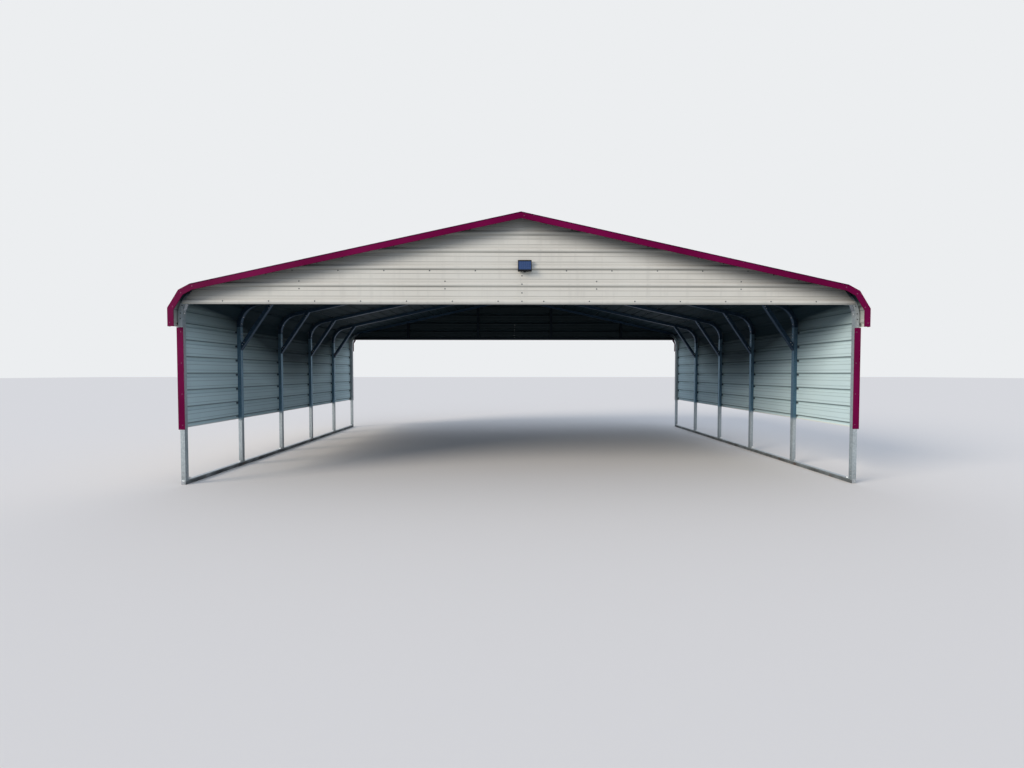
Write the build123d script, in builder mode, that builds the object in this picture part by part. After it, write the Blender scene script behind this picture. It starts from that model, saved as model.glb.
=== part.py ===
from build123d import *
import math
import os

# A round-eave steel carport: square-tube frames under ribbed sheets, with half-height
# side walls, closed gables and open ends. Millimetres, Z up, front towards -Y.
# The origin is on the ground, on the centreline, midway between the two open ends.

# Frame tube
tube = 57.15
tube_wall = 1.9
nipple_length = 150.0
slip_clearance = 0.3

# Frames, counted from front to back
frame_width = 9144.0
frame_count = 6
bay = 1219.2

# Bows: height of the tube's top at the ridge, slope, and outside radius of the eave bend
ridge_height = 3588.0
roof_pitch = 12.3
bend_radius = 406.4
bow_tail = 12.0
bow_end_wall = 5.0

# Knee braces, on the middle frames only
brace_down_leg = 327.0
brace_reach = 500.0

# Ribbed sheet
sheet_thickness = 1.2
rib_pitch = 228.6
rib_height = 19.0
rib_base = 70.0
rib_crown = 20.0
minor_rib_height = 3.0
minor_rib_base = 14.0
minor_rib_spacing = 76.0
lap_clearance = 0.3
lap_spread = 2.0
lap_toe = 5.0

# Roof, with a skirt that hangs at least so far below its last fold
roof_overhang = 123.8
full_sheet_pitches = 4
eave_fold_angles = (28.0, 58.0)
fold_clearance = 0.6
least_skirt = 160.0

# Side walls: one full sheet below a half sheet, their top rib so far below the eave corner
wall_top_drop = 429.5
wall_lower_pitches = 4
wall_upper_pitches = 2

# Gables: two lower sheets below one upper sheet, with their outer corners cut off,
# their bottom rib so far below the eave corner
gable_bottom_drop = 134.0
gable_lower_pitches = 2
gable_foot_setback = 58.0
gable_cut_setback = 204.0
gable_roof_gap = 2.0
gable_seam = 0.5

# Gable tubes and their clips
header_drop = 30.0
header_end_gap = 4.0
stud_spread = (1015.0, 2960.0)
clip_width = 50.0
clip_thickness = 3.0
clip_under_header = 70.0
clip_down_bow = 85.0

# Trim
trim_thickness = 1.2
rake_face = 85.0
rake_flange = 50.0
rake_drip = 6.5
rake_tail = 6.0
corner_face = 88.0
corner_return = 50.0
corner_below_wall = 9.0
corner_below_skirt = 5.0

# Solar light on the front gable
light_offset = 50.0
light_above_lap = 15.0
light_width = 182.0
light_depth = 62.0
light_tall = 150.0
light_edge = 10.0
light_tilt = 15.5
panel_border = 9.0
panel_thickness = 3.0
sensor_diameter = 44.0
sensor_drop = 15.0
sensor_sides = 24
sensor_slopes = (8.0, 2.5)

# Sizes worked out from those above
half_width = frame_width / 2
leg_centre = half_width - tube / 2
leg_inside = half_width - tube
frame_length = (frame_count - 1) * bay + tube
roof_length = frame_length + 2 * roof_overhang
bore = tube - 2 * tube_wall
nipple = bore - 2 * slip_clearance
pitch_rise = math.tan(math.radians(roof_pitch))
pitch_cos = math.cos(math.radians(roof_pitch))
eave_corner = ridge_height - half_width * pitch_rise
bend_run = bend_radius * math.tan(math.radians(90 - roof_pitch) / 2)
bend_centre = (half_width - bend_radius, eave_corner - bend_run)
leg_top = bend_centre[1] - bow_tail
brace_foot = leg_top - brace_down_leg
front_face = -frame_length / 2
frame_fronts = [front_face + bay * i for i in range(frame_count)]
rib_outside = rib_height + sheet_thickness
lap_height = rib_outside + lap_clearance
lap_outside = lap_height + sheet_thickness
skirt_face = half_width + rib_outside + lap_clearance
wall_middle_rib = eave_corner - wall_top_drop - wall_upper_pitches * rib_pitch
wall_bottom_rib = wall_middle_rib - wall_lower_pitches * rib_pitch
wall_foot = wall_bottom_rib - rib_base / 2 - lap_spread
gable_bottom_rib = eave_corner - gable_bottom_drop
gable_middle_rib = gable_bottom_rib + gable_lower_pitches * rib_pitch
gable_foot = gable_bottom_rib - rib_base / 2 - lap_spread
gable_upper_pitches = math.ceil((ridge_height - gable_middle_rib) / rib_pitch)

os.makedirs("parts", exist_ok=True)


def save(part, name):
    part.label = name
    export_step(part, f"parts/{name}.step")


# Square tubes standing or lying in a row


def upright_tubes(side):
    """The six legs of one side, hollow, over the nipples of their base rail."""
    with BuildPart() as legs:
        with BuildSketch(Plane.XY.offset(tube)):
            with Locations(*[(side * leg_centre, y + tube / 2) for y in frame_fronts]):
                Rectangle(tube, tube)
                Rectangle(bore, bore, mode=Mode.SUBTRACT)
        extrude(amount=leg_top - tube)
    return legs.part


def base_rail(side):
    """A rail on the ground with a nipple under each leg."""
    with BuildPart() as rail:
        with BuildSketch(Plane.XZ.offset(-front_face)):
            with Locations((side * leg_centre, tube / 2)):
                Rectangle(tube, tube)
                Rectangle(bore, bore, mode=Mode.SUBTRACT)
        extrude(amount=-frame_length)
        with BuildSketch(Plane.XY.offset(tube)):
            with Locations(*[(side * leg_centre, y + tube / 2) for y in frame_fronts]):
                Rectangle(nipple, nipple)
                Rectangle(nipple - 2 * tube_wall, nipple - 2 * tube_wall, mode=Mode.SUBTRACT)
        extrude(amount=nipple_length)
    return rail.part


# Bows


def bow_face(depth_out, depth_in, foot):
    """Half of a bow's side view, between two depths under its top, down to a foot level."""
    outer = [
        (0, ridge_height - depth_out / pitch_cos),
        (half_width - depth_out, eave_corner - depth_out / pitch_cos + depth_out * pitch_rise),
        (half_width - depth_out, foot),
    ]
    inner = [
        (0, ridge_height - depth_in / pitch_cos),
        (half_width - depth_in, eave_corner - depth_in / pitch_cos + depth_in * pitch_rise),
        (half_width - depth_in, foot),
    ]
    with BuildSketch(mode=Mode.PRIVATE) as face:
        with BuildLine():
            over = FilletPolyline(*outer, radius=bend_radius - depth_out)
            under = FilletPolyline(*inner, radius=bend_radius - depth_in)
            Line(over @ 0, under @ 0)
            Line(over @ 1, under @ 1)
        make_face()
        mirror(about=Plane.YZ)
    return face.sketch


def make_bow(front):
    """A bent square tube from leg to leg, with a nipple in each end for the leg."""
    with BuildPart() as bow:
        with BuildSketch(Plane.XZ.offset(-front)):
            add(bow_face(0, tube, leg_top))
        extrude(amount=-tube)
        with BuildSketch(Plane.XZ.offset(-front - tube_wall)):
            add(bow_face(tube_wall, tube - tube_wall, leg_top + bow_end_wall))
        extrude(amount=-bore, mode=Mode.SUBTRACT)
        with BuildSketch(Plane.XY.offset(leg_top)):
            with Locations((-leg_centre, front + tube / 2), (leg_centre, front + tube / 2)):
                Rectangle(nipple, nipple)
                Rectangle(nipple - 2 * tube_wall, nipple - 2 * tube_wall, mode=Mode.SUBTRACT)
        extrude(amount=-nipple_length)
    return bow.part


# Knee braces, cut to lie flat on the leg and on the underside of the bow


def under_bow(x):
    """Height of the straight underside of a bow, at a distance from the centreline."""
    return ridge_height - tube / pitch_cos - x * pitch_rise


def brace_outline(half_band):
    """Corners of a brace's side view, half_band each side of its middle line."""
    head = (leg_inside - brace_reach, under_bow(leg_inside - brace_reach))
    foot = (leg_inside, brace_foot)
    run = foot[0] - head[0]
    drop = head[1] - foot[1]
    length = math.hypot(run, drop)
    up_the_leg = half_band * length / run
    along_the_bow = half_band * length / (drop - run * pitch_rise)
    return [
        (foot[0], foot[1] - up_the_leg),
        (foot[0], foot[1] + up_the_leg),
        (head[0] + along_the_bow, under_bow(head[0] + along_the_bow)),
        (head[0] - along_the_bow, under_bow(head[0] - along_the_bow)),
    ]


def knee_braces(side):
    with BuildPart() as braces:
        for front in frame_fronts[1:-1]:
            with BuildSketch(Plane.XZ.offset(-front)):
                with BuildLine():
                    Polyline(*[(side * x, z) for x, z in brace_outline(tube / 2)], close=True)
                make_face()
            extrude(amount=-tube)
            with BuildSketch(Plane.XZ.offset(-front - tube_wall)):
                with BuildLine():
                    Polyline(*[(side * x, z) for x, z in brace_outline(bore / 2)], close=True)
                make_face()
            extrude(amount=-bore, mode=Mode.SUBTRACT)
    return braces.part


# Ribbed sheet: its inner line as distances along the sheet and heights off its pan


def rib(centre, spread, height):
    """The corners of one main rib; spread widens it for a sheet that laps over."""
    return [
        (centre - rib_base / 2 - spread, 0),
        (centre - rib_crown / 2 - spread, height),
        (centre + rib_crown / 2 + spread, height),
        (centre + rib_base / 2 + spread, 0),
    ]


def minor_ribs(start):
    """The two low stiffening ribs in the pan after the main rib at start."""
    line = []
    for offset in (-minor_rib_spacing / 2, minor_rib_spacing / 2):
        middle = start + rib_pitch / 2 + offset
        line += [
            (middle - minor_rib_base / 2, 0),
            (middle, minor_rib_height),
            (middle + minor_rib_base / 2, 0),
        ]
    return line


def lower_edge(centre):
    """The last rib of a sheet, which laps over the next sheet and stops above its pan."""
    corners = rib(centre, lap_spread, lap_height)
    side_run = corners[3][0] - corners[2][0]
    toe = (corners[3][0] - lap_toe, lap_height * lap_toe / side_run)
    return corners[:3] + [toe]


def sheet_line(first, pitches):
    """Inner line of a sheet, from the rib that tucks under to the rib that laps over."""
    line = rib(first, -lap_spread, rib_height)
    for i in range(pitches):
        start = first + i * rib_pitch
        line += minor_ribs(start)
        if i < pitches - 1:
            line += rib(start + rib_pitch, 0, rib_height)
    return line + lower_edge(first + pitches * rib_pitch)


# Roof line: underside of the roofing on the right half, lying on the bow and folded
# round the eave in flat facets that clear the bend


def meeting(first, second):
    """Where two lines meet, each given as the angle it slopes down and its distance."""
    (angle_a, reach_a), (angle_b, reach_b) = first, second
    ax, az = math.sin(math.radians(angle_a)), math.cos(math.radians(angle_a))
    bx, bz = math.sin(math.radians(angle_b)), math.cos(math.radians(angle_b))
    cross = ax * bz - az * bx
    return ((reach_a * bz - reach_b * az) / cross, (ax * reach_b - bx * reach_a) / cross)


def facet(angle):
    """A flat of the roofing that just clears the eave bend."""
    a = math.radians(angle)
    centre_reach = bend_centre[0] * math.sin(a) + bend_centre[1] * math.cos(a)
    return (angle, centre_reach + bend_radius + fold_clearance)


facets = [(roof_pitch, ridge_height * pitch_cos)]
facets += [facet(angle) for angle in eave_fold_angles]
facets += [(90.0, skirt_face)]
folds = [meeting(a, b) for a, b in zip(facets, facets[1:])]
corners = [(0.0, ridge_height)] + folds
fold_marks = [0.0]
for start, end in zip(corners, corners[1:]):
    fold_marks.append(fold_marks[-1] + math.dist(start, end))
ridge_sheet_pitches = full_sheet_pitches // 2
side_pitches = math.ceil((fold_marks[-1] + least_skirt) / rib_pitch) - ridge_sheet_pitches
roof_sheets_a_side = math.ceil(side_pitches / full_sheet_pitches)
sheet_end = (ridge_sheet_pitches + side_pitches) * rib_pitch + rib_base / 2


def on_roof(along, height):
    """Point in X and Z at a distance down the roofing and a height off its underside."""
    i = max(k for k, mark in enumerate(fold_marks) if mark <= along + 1e-6)
    down = math.radians(facets[i][0])
    lean = down
    stretch = 1.0
    past = along - fold_marks[i]
    if past < 1e-6:
        above = math.radians(facets[i - 1][0]) if i else -down
        lean = (down + above) / 2
        stretch = 1 / math.cos((down - above) / 2)
    x = corners[i][0] + past * math.cos(down) + stretch * height * math.sin(lean)
    z = corners[i][1] - past * math.sin(down) + stretch * height * math.cos(lean)
    return (x, z)


def with_folds(line):
    """The same sheet line with a point added at each fold that it crosses."""
    result = [line[0]]
    for (s0, h0), (s1, h1) in zip(line, line[1:]):
        for mark in fold_marks:
            if s0 + 1e-6 < mark < s1 - 1e-6:
                result.append((mark, h0 + (h1 - h0) * (mark - s0) / (s1 - s0)))
        result.append((s1, h1))
    return result


def band(line, place):
    """Closed outline of a sheet's edge, placed by a function of distance and height."""
    inner = [place(s, h) for s, h in line]
    outer = [place(s, h + sheet_thickness) for s, h in line]
    return inner + outer[::-1]


def run_front_to_back(outline, front, length):
    """A solid of one edge outline in X and Z, running back from a front plane."""
    with BuildPart() as piece:
        with BuildSketch(Plane.XZ.offset(-front)):
            with BuildLine():
                Polyline(*outline, close=True)
            make_face()
        extrude(amount=-length)
    return piece.part


def ridge_sheet():
    """The middle roof sheet, folded along its middle rib, lapping over both neighbours."""
    line = [(0, rib_height), (rib_crown / 2, rib_height), (rib_base / 2, 0)]
    for i in range(ridge_sheet_pitches):
        line += minor_ribs(i * rib_pitch)
        if i < ridge_sheet_pitches - 1:
            line += rib((i + 1) * rib_pitch, 0, rib_height)
    line += lower_edge(ridge_sheet_pitches * rib_pitch)
    with BuildPart() as sheet:
        with BuildSketch(Plane.XZ.offset(roof_overhang - front_face)):
            with BuildLine():
                Polyline(*band(line, on_roof), close=True)
            make_face()
            mirror(about=Plane.YZ)
        extrude(amount=-roof_length)
    return sheet.part


def roof_sheet(side, number):
    """A roof sheet counted outwards from the ridge sheet; the last one may be narrower."""
    before = (number - 1) * full_sheet_pitches
    pitches = min(full_sheet_pitches, side_pitches - before)
    line = with_folds(sheet_line((ridge_sheet_pitches + before) * rib_pitch, pitches))
    outline = [(side * x, z) for x, z in band(line, on_roof)]
    return run_front_to_back(outline, front_face - roof_overhang, roof_length)


# Side walls, flat on the outside of the legs


def wall_sheet(side, bottom_rib, pitches):
    top_rib = bottom_rib + pitches * rib_pitch
    line = sheet_line(0, pitches)
    outline = band(line, lambda s, h: (side * (half_width + h), top_rib - s))
    return run_front_to_back(outline, front_face, frame_length)


# Gables, flat on the outside of the end bows, cut to the roof line


def gable_outline():
    """Right half of a gable seen from the front, up to just under the roofing."""
    foot_x = half_width - gable_foot_setback
    cut_x = half_width - gable_cut_setback
    lap_angle, lap_reach = facets[1]
    a = math.radians(lap_angle)
    cut_z = (lap_reach - cut_x * math.sin(a)) / math.cos(a) - gable_roof_gap
    ridge = on_roof(0, -gable_roof_gap)
    eave = on_roof(fold_marks[1], -gable_roof_gap)
    return [(0, gable_foot), (foot_x, gable_foot), (cut_x, cut_z), eave, ridge]


def gable_sheet(outward, wall_face, bottom_rib, pitches, x_from, x_to):
    """A level ribbed sheet on a gable, trimmed to the gable outline."""
    top_rib = bottom_rib + pitches * rib_pitch
    line = sheet_line(0, pitches)
    with BuildPart() as sheet:
        with BuildSketch(Plane.YZ.offset(x_from)):
            with BuildLine():
                Polyline(*band(line, lambda s, h: (wall_face + outward * h, top_rib - s)), close=True)
            make_face()
        extrude(amount=x_to - x_from)
        with BuildSketch(Plane.XZ.offset(-wall_face)):
            with BuildLine():
                Polyline(*gable_outline(), close=True)
            make_face()
            mirror(about=Plane.YZ)
        extrude(amount=2 * lap_outside, both=True, mode=Mode.INTERSECT)
    return sheet.part


# Gable tubes: a header between the bow's shoulders and four studs up to its underside


def inside_bend(z, clearance):
    """Distance from the centreline to the inner side of the eave bend at a level."""
    radius = bend_radius - tube - clearance
    return bend_centre[0] + math.sqrt(radius**2 - (z - bend_centre[1]) ** 2)


header_bottom = gable_bottom_rib - header_drop
header_top = header_bottom + tube
header_half = inside_bend(header_top, header_end_gap)


def gable_header(front):
    with BuildPart() as header:
        with BuildSketch(Plane.YZ.offset(-header_half)):
            with Locations((front + tube / 2, header_bottom + tube / 2)):
                Rectangle(tube, tube)
                Rectangle(bore, bore, mode=Mode.SUBTRACT)
        extrude(amount=2 * header_half)
    return header.part


def gable_studs(front):
    """Four upright tubes, their tops cut to the slope of the bow."""
    with BuildPart() as studs:
        for middle in stud_spread:
            for side in (-1, 1):
                for width, depth, start in ((tube, tube, 0), (bore, bore, tube_wall)):
                    inner = middle - width / 2
                    outer = middle + width / 2
                    shape = [
                        (side * inner, header_top),
                        (side * outer, header_top),
                        (side * outer, under_bow(outer)),
                        (side * inner, under_bow(inner)),
                    ]
                    with BuildSketch(Plane.XZ.offset(-front - start)):
                        with BuildLine():
                            Polyline(*shape, close=True)
                        make_face()
                    extrude(amount=-depth, mode=Mode.SUBTRACT if start else Mode.ADD)
    return studs.part


def header_clips():
    """Bent angle clips under the header ends, their lower legs on the bow's inner side."""
    clip_foot = header_bottom - clip_down_bow
    knee_x = inside_bend(header_bottom, slip_clearance)
    foot_x = inside_bend(clip_foot, slip_clearance)
    lean = math.atan2(foot_x - knee_x, clip_down_bow)
    inset = clip_thickness / math.cos(lean)
    knee_inset = inset - clip_thickness * math.tan(lean)
    shape = [
        (knee_x - clip_under_header, header_bottom),
        (knee_x, header_bottom),
        (foot_x, clip_foot),
        (foot_x - inset, clip_foot),
        (knee_x - knee_inset, header_bottom - clip_thickness),
        (knee_x - clip_under_header, header_bottom - clip_thickness),
    ]
    with BuildPart() as clips:
        for front in (frame_fronts[0], frame_fronts[-1]):
            with BuildSketch(Plane.XZ.offset(-front - (tube - clip_width) / 2)):
                with BuildLine():
                    Polyline(*shape, close=True)
                make_face()
                mirror(about=Plane.YZ)
            extrude(amount=-clip_width)
    return clips.part


# Trim: an angle round the roof edge and an angle down each wall end


def rake_trim(side, edge, inward):
    """Angle trim from the ridge to the skirt: a face over the sheet ends, a flange on top
    and a drip edge turned out along the foot of the face."""
    marks = fold_marks + [sheet_end + rake_tail]
    flange_in = lap_outside + lap_clearance
    flange_out = flange_in + trim_thickness
    face_front = edge - inward * (lap_clearance + trim_thickness)
    face_foot = flange_out - rake_face
    bands = (
        (face_foot, flange_out, trim_thickness),
        (flange_in, flange_out, rake_flange),
        (face_foot, face_foot + trim_thickness, -rake_drip),
    )
    with BuildPart() as trim:
        for low, high, depth in bands:
            below = [on_roof(s, low) for s in marks]
            above = [on_roof(s, high) for s in marks]
            with BuildSketch(Plane.XZ.offset(-face_front)):
                with BuildLine():
                    Polyline(*[(side * x, z) for x, z in below + above[::-1]], close=True)
                make_face()
            extrude(amount=-inward * depth)
    return trim.part


def corner_trim(side, wall_end, inward):
    """Angle trim on a wall end: a face on the leg and a return over the wall's ribs."""
    return_in = half_width + lap_outside + lap_clearance
    return_out = return_in + trim_thickness
    shape = [
        (side * (return_out - corner_face), wall_end),
        (side * return_in, wall_end),
        (side * return_in, wall_end + inward * corner_return),
        (side * return_out, wall_end + inward * corner_return),
        (side * return_out, wall_end - inward * trim_thickness),
        (side * (return_out - corner_face), wall_end - inward * trim_thickness),
    ]
    bottom = wall_foot - corner_below_wall
    top = on_roof(sheet_end, 0)[1] - corner_below_skirt
    with BuildPart() as trim:
        with BuildSketch(Plane.XY.offset(bottom)):
            with BuildLine():
                Polyline(*shape, close=True)
            make_face()
        extrude(amount=top - bottom)
    return trim.part


# Solar light: a housing with a sloping top face, a panel let into it and a domed sensor


light_back = front_face - lap_outside - lap_clearance
light_bottom = gable_middle_rib + light_above_lap - light_tall / 2
light_front = light_back - light_depth
panel_drop = light_tall * math.tan(math.radians(light_tilt))


def make_light_housing():
    with BuildPart() as housing:
        with BuildSketch(Plane.YZ.offset(light_offset - light_width / 2)):
            with BuildLine():
                Polyline(
                    (light_back, light_bottom),
                    (light_back, light_bottom + light_tall),
                    (light_front + panel_drop, light_bottom + light_tall),
                    (light_front, light_bottom),
                    close=True,
                )
            make_face()
        extrude(amount=light_width)
        fillet(housing.edges().filter_by(Axis.X).group_by(Axis.Y)[0], radius=light_edge)
        with BuildSketch(light_face_plane()):
            RectangleRounded(light_width - 2 * panel_border, light_panel_tall(), light_edge / 2)
        extrude(amount=-panel_thickness, mode=Mode.SUBTRACT)
    return housing.part


def light_face_plane():
    """Plane on the middle of the sloping face, looking out."""
    middle_y = light_front + panel_drop / 2
    lean = math.radians(light_tilt)
    return Plane(
        origin=(light_offset, middle_y, light_bottom + light_tall / 2),
        x_dir=(1, 0, 0),
        z_dir=(0, -math.cos(lean), math.sin(lean)),
    )


def light_panel_tall():
    face_tall = light_tall / math.cos(math.radians(light_tilt))
    return face_tall - 2 * (light_edge + panel_border)


def make_light_panel():
    with BuildPart() as panel:
        with BuildSketch(light_face_plane().offset(-panel_thickness)):
            width = light_width - 2 * panel_border - 2 * slip_clearance
            tall = light_panel_tall() - 2 * slip_clearance
            RectangleRounded(width, tall, light_edge / 2 - slip_clearance)
        extrude(amount=panel_thickness - slip_clearance)
    return panel.part


def make_light_sensor():
    """A faceted lens under the housing, its lower rim cut back in two slopes."""
    middle_y = (light_back + light_front) / 2
    with BuildPart() as sensor:
        with BuildSketch(Plane.XY.offset(light_bottom)):
            with Locations((light_offset, middle_y)):
                RegularPolygon(sensor_diameter / 2, sensor_sides)
        extrude(amount=-sensor_drop)
        for slope in sensor_slopes:
            chamfer(sensor.faces().sort_by(Axis.Z)[0].edges(), length=slope)
    return sensor.part


# Build and save every piece

sides = {"left": -1, "right": 1}

for side_name, side in sides.items():
    save(base_rail(side), f"base_rail_{side_name}")
    save(upright_tubes(side), f"{side_name}_legs")
    save(knee_braces(side), f"knee_braces_{side_name}")
    for number in range(1, roof_sheets_a_side + 1):
        save(roof_sheet(side, number), f"roof_sheet_{side_name}_{number}")
    save(wall_sheet(side, wall_bottom_rib, wall_lower_pitches), f"wall_{side_name}_lower")
    save(wall_sheet(side, wall_middle_rib, wall_upper_pitches), f"wall_{side_name}_upper")

for number, front in enumerate(frame_fronts, 1):
    save(make_bow(front), f"bow_{number}")

save(ridge_sheet(), "roof_sheet_ridge")
save(header_clips(), "header_clips")

ends = {"front": (front_face, -1, frame_fronts[0]), "back": (-front_face, 1, frame_fronts[-1])}
gable_half = half_width - gable_foot_setback

for end_name, (face, outward, front) in ends.items():
    inward = -outward
    save(gable_sheet(outward, face, gable_middle_rib, gable_upper_pitches, -half_width, half_width),
         f"gable_{end_name}_upper")
    save(gable_sheet(outward, face, gable_bottom_rib, gable_lower_pitches, -gable_half, -gable_seam / 2),
         f"gable_{end_name}_lower_left")
    save(gable_sheet(outward, face, gable_bottom_rib, gable_lower_pitches, gable_seam / 2, gable_half),
         f"gable_{end_name}_lower_right")
    save(gable_header(front), f"gable_header_{end_name}")
    save(gable_studs(front), f"gable_studs_{end_name}")
    for side_name, side in sides.items():
        edge = face + outward * roof_overhang
        save(rake_trim(side, edge, inward), f"rake_trim_{end_name}_{side_name}")
        save(corner_trim(side, face, inward), f"corner_trim_{end_name}_{side_name}")

save(make_light_housing(), "light_housing")
save(make_light_panel(), "light_panel")
save(make_light_sensor(), "light_sensor")
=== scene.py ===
# %% [markdown]
# A round-eave steel carport: ribbed painted sheets on a frame of square galvanised tube.
# The CAD model already has every sheet, tube and trim as a node, true to size. This lesson
# gives each one its finish and adds what is too small for CAD: screws, anchors and dirt.
# Everything is in metres, with the front towards -Y and the ground at Z = 0.

# %% Load the frame
import math
from functools import partial
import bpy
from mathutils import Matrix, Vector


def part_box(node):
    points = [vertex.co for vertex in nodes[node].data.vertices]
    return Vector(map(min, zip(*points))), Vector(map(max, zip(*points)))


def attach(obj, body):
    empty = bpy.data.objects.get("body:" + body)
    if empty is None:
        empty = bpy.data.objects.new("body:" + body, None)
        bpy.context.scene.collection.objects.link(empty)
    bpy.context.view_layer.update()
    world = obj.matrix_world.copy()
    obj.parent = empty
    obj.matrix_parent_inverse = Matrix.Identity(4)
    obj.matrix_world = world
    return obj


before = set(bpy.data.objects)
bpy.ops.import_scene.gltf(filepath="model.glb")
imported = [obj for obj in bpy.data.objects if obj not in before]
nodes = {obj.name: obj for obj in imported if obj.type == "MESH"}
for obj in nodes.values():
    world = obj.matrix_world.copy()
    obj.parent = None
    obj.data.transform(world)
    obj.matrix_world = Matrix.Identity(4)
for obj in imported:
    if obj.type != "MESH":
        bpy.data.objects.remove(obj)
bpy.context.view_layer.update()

from types import SimpleNamespace

import bmesh
import bpy
from mathutils import Euler, Matrix, Vector

print("CAD nodes:", len(nodes))

# %% [markdown]
# The sizes that the finishes and fastenings need can be read from the CAD nodes, so that
# they follow if the carport changes. Only the product's own standards are typed here:
# the tube, the rib spacing of the sheet, and the slope and bend of the bows.

# %% Sizes read from the frame
tube = 0.05715
rib_pitch = 0.2286
slope = math.radians(12.3)
bend_radius = 0.4064
bend_above_leg = 0.012
half_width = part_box("right_legs")[1].x
leg_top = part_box("right_legs")[1].z
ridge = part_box("bow_1")[1].z
frame_count = sum(name.startswith("bow_") for name in nodes)
frame_middles = [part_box(f"bow_{i + 1}")[0].y + tube / 2 for i in range(frame_count)]
bay = frame_middles[1] - frame_middles[0]
bend_middle_x = half_width - bend_radius
bend_middle_z = leg_top + bend_above_leg
gable_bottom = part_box("gable_front_lower_left")[0].z
wall_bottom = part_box("wall_left_lower")[0].z
print(f"half width {half_width:.3f}, ridge {ridge:.3f}, frames {frame_count}")

# %% [markdown]
# The camera stands where the photographer stood: at eye level, a little left of the middle
# and close in front, with a very wide lens. Its place was solved from the feet of the legs.
# A wide lens close by is what makes the far frames shrink so quickly.

# %% Camera
tilt_down = 1.489  # degrees
turn_right = 0.441
focal_share = 422.5 / 1024  # of the picture's width
camera = bpy.data.objects.new("camera", bpy.data.cameras.new("camera"))
bpy.context.scene.collection.objects.link(camera)
camera.location = (-0.163, -8.765, 1.505)
camera.rotation_euler = Euler((math.radians(90 - tilt_down), 0.0, math.radians(-turn_right)))
camera.data.sensor_width = 36.0
camera.data.lens = focal_share * camera.data.sensor_width
camera.data.clip_end = 500.0
camera.data.dof.use_dof = False
bpy.context.scene.camera = camera
bpy.context.scene.view_settings.view_transform = "Standard"
print("lens", round(camera.data.lens, 2), "mm")

# %% [markdown]
# A colour picked on a screen is an sRGB value, but shaders count in linear light, so one
# function turns a hex colour to linear. A second one adds a node with its settings and its
# links, which keeps each material readable as a recipe, and every new material comes with
# that function bound to it as "add". A node given as an input is linked by the first
# output that it has in use. A Mix node has the sockets of every data type: for colours,
# input 0 is the factor, and 6 and 7 are the two colours.

# %% Helpers for materials
def linear(hex_colour):
    """Linear RGBA of an sRGB hex colour."""
    channels = [int(hex_colour[i:i + 2], 16) / 255 for i in (1, 3, 5)]
    return [c / 12.92 if c <= 0.04045 else ((c + 0.055) / 1.055) ** 2.4 for c in channels] + [1.0]


def add_node(tree, kind, inputs=None, **settings):
    """Adds a node. inputs maps an input's name or number to a value, a socket or a node."""
    node = tree.nodes.new(kind)
    for name, value in settings.items():
        setattr(node, name, value)
    for key, value in (inputs or {}).items():
        if isinstance(value, bpy.types.Node):
            value = next(output for output in value.outputs if output.enabled)
        if isinstance(value, bpy.types.NodeSocket):
            tree.links.new(value, node.inputs[key])
        else:
            node.inputs[key].default_value = value
    return node


def empty_tree(owner):
    """Clears the nodes of a material or world, and gives add_node for that tree."""
    owner.use_nodes = True
    owner.node_tree.nodes.clear()
    return partial(add_node, owner.node_tree)


def new_material(name):
    """An empty node material, and the function that adds a node to it."""
    material = bpy.data.materials.new(name)
    return material, empty_tree(material)


print("mid grey in linear light:", round(linear("#808080")[0], 3))

# %% [markdown]
# The studio is a pale floor under a pale sky. Outdoors such a roof stands over dark, shaded
# ground with brighter ground around it. So the floor is evenly pale only to the camera and
# in reflections, and the light that it throws back is dim under the roof and fair outside.
# Its pale colour is written warm, because the blue light of the sky turns it neutral.

# %% Floor
def seen_directly(add):
    """1 for rays from the camera and in reflections, 0 for the light that falls on things."""
    path = add("ShaderNodeLightPath")
    seen = path.outputs["Is Camera Ray"]
    for ray in ("Is Glossy Ray", "Is Transmission Ray"):
        seen = add("ShaderNodeMath", {0: seen, 1: path.outputs[ray]}, operation="MAXIMUM")
    return seen


floor_paint, add = new_material("studio_floor")
floor_place = add("ShaderNodeTexCoord").outputs["Object"]
from_centre = add("ShaderNodeVectorMath", {0: floor_place}, operation="ABSOLUTE")
apart = add("ShaderNodeSeparateXYZ", {0: from_centre})
under_width = add("ShaderNodeMapRange", {
    "Value": apart.outputs["X"], "From Min": 4.9, "From Max": 4.4})
under_length = add("ShaderNodeMapRange", {
    "Value": apart.outputs["Y"], "From Min": 3.3, "From Max": 1.9})
under_roof = add("ShaderNodeMath", {0: under_width, 1: under_length}, operation="MULTIPLY")
ground = add("ShaderNodeMix", {
    0: under_roof, 6: linear("#cccdc8"), 7: linear("#151617")}, data_type="RGBA")
bounce = add("ShaderNodeBsdfDiffuse", {"Color": ground})
pale = add("ShaderNodeBsdfDiffuse", {"Color": linear("#ebe1d6")})
floor_mix = add("ShaderNodeMixShader", {0: seen_directly(add), 1: bounce, 2: pale})
add("ShaderNodeOutputMaterial", {"Surface": floor_mix})

floor_mesh = bmesh.new()
bmesh.ops.create_grid(floor_mesh, x_segments=1, y_segments=1, size=150.0)
floor_data = bpy.data.meshes.new("studio_floor")
floor_mesh.to_mesh(floor_data)
floor_mesh.free()
floor_data.materials.append(floor_paint)
floor = bpy.data.objects.new("studio_floor", floor_data)
bpy.context.scene.collection.objects.link(floor)
print("floor", [round(side) for side in floor.dimensions], "m")

# %% [markdown]
# The sky could be a picture of one, but a plain colour lights every side alike. It is a
# little blue as light and nearly white as a backdrop.

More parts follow.
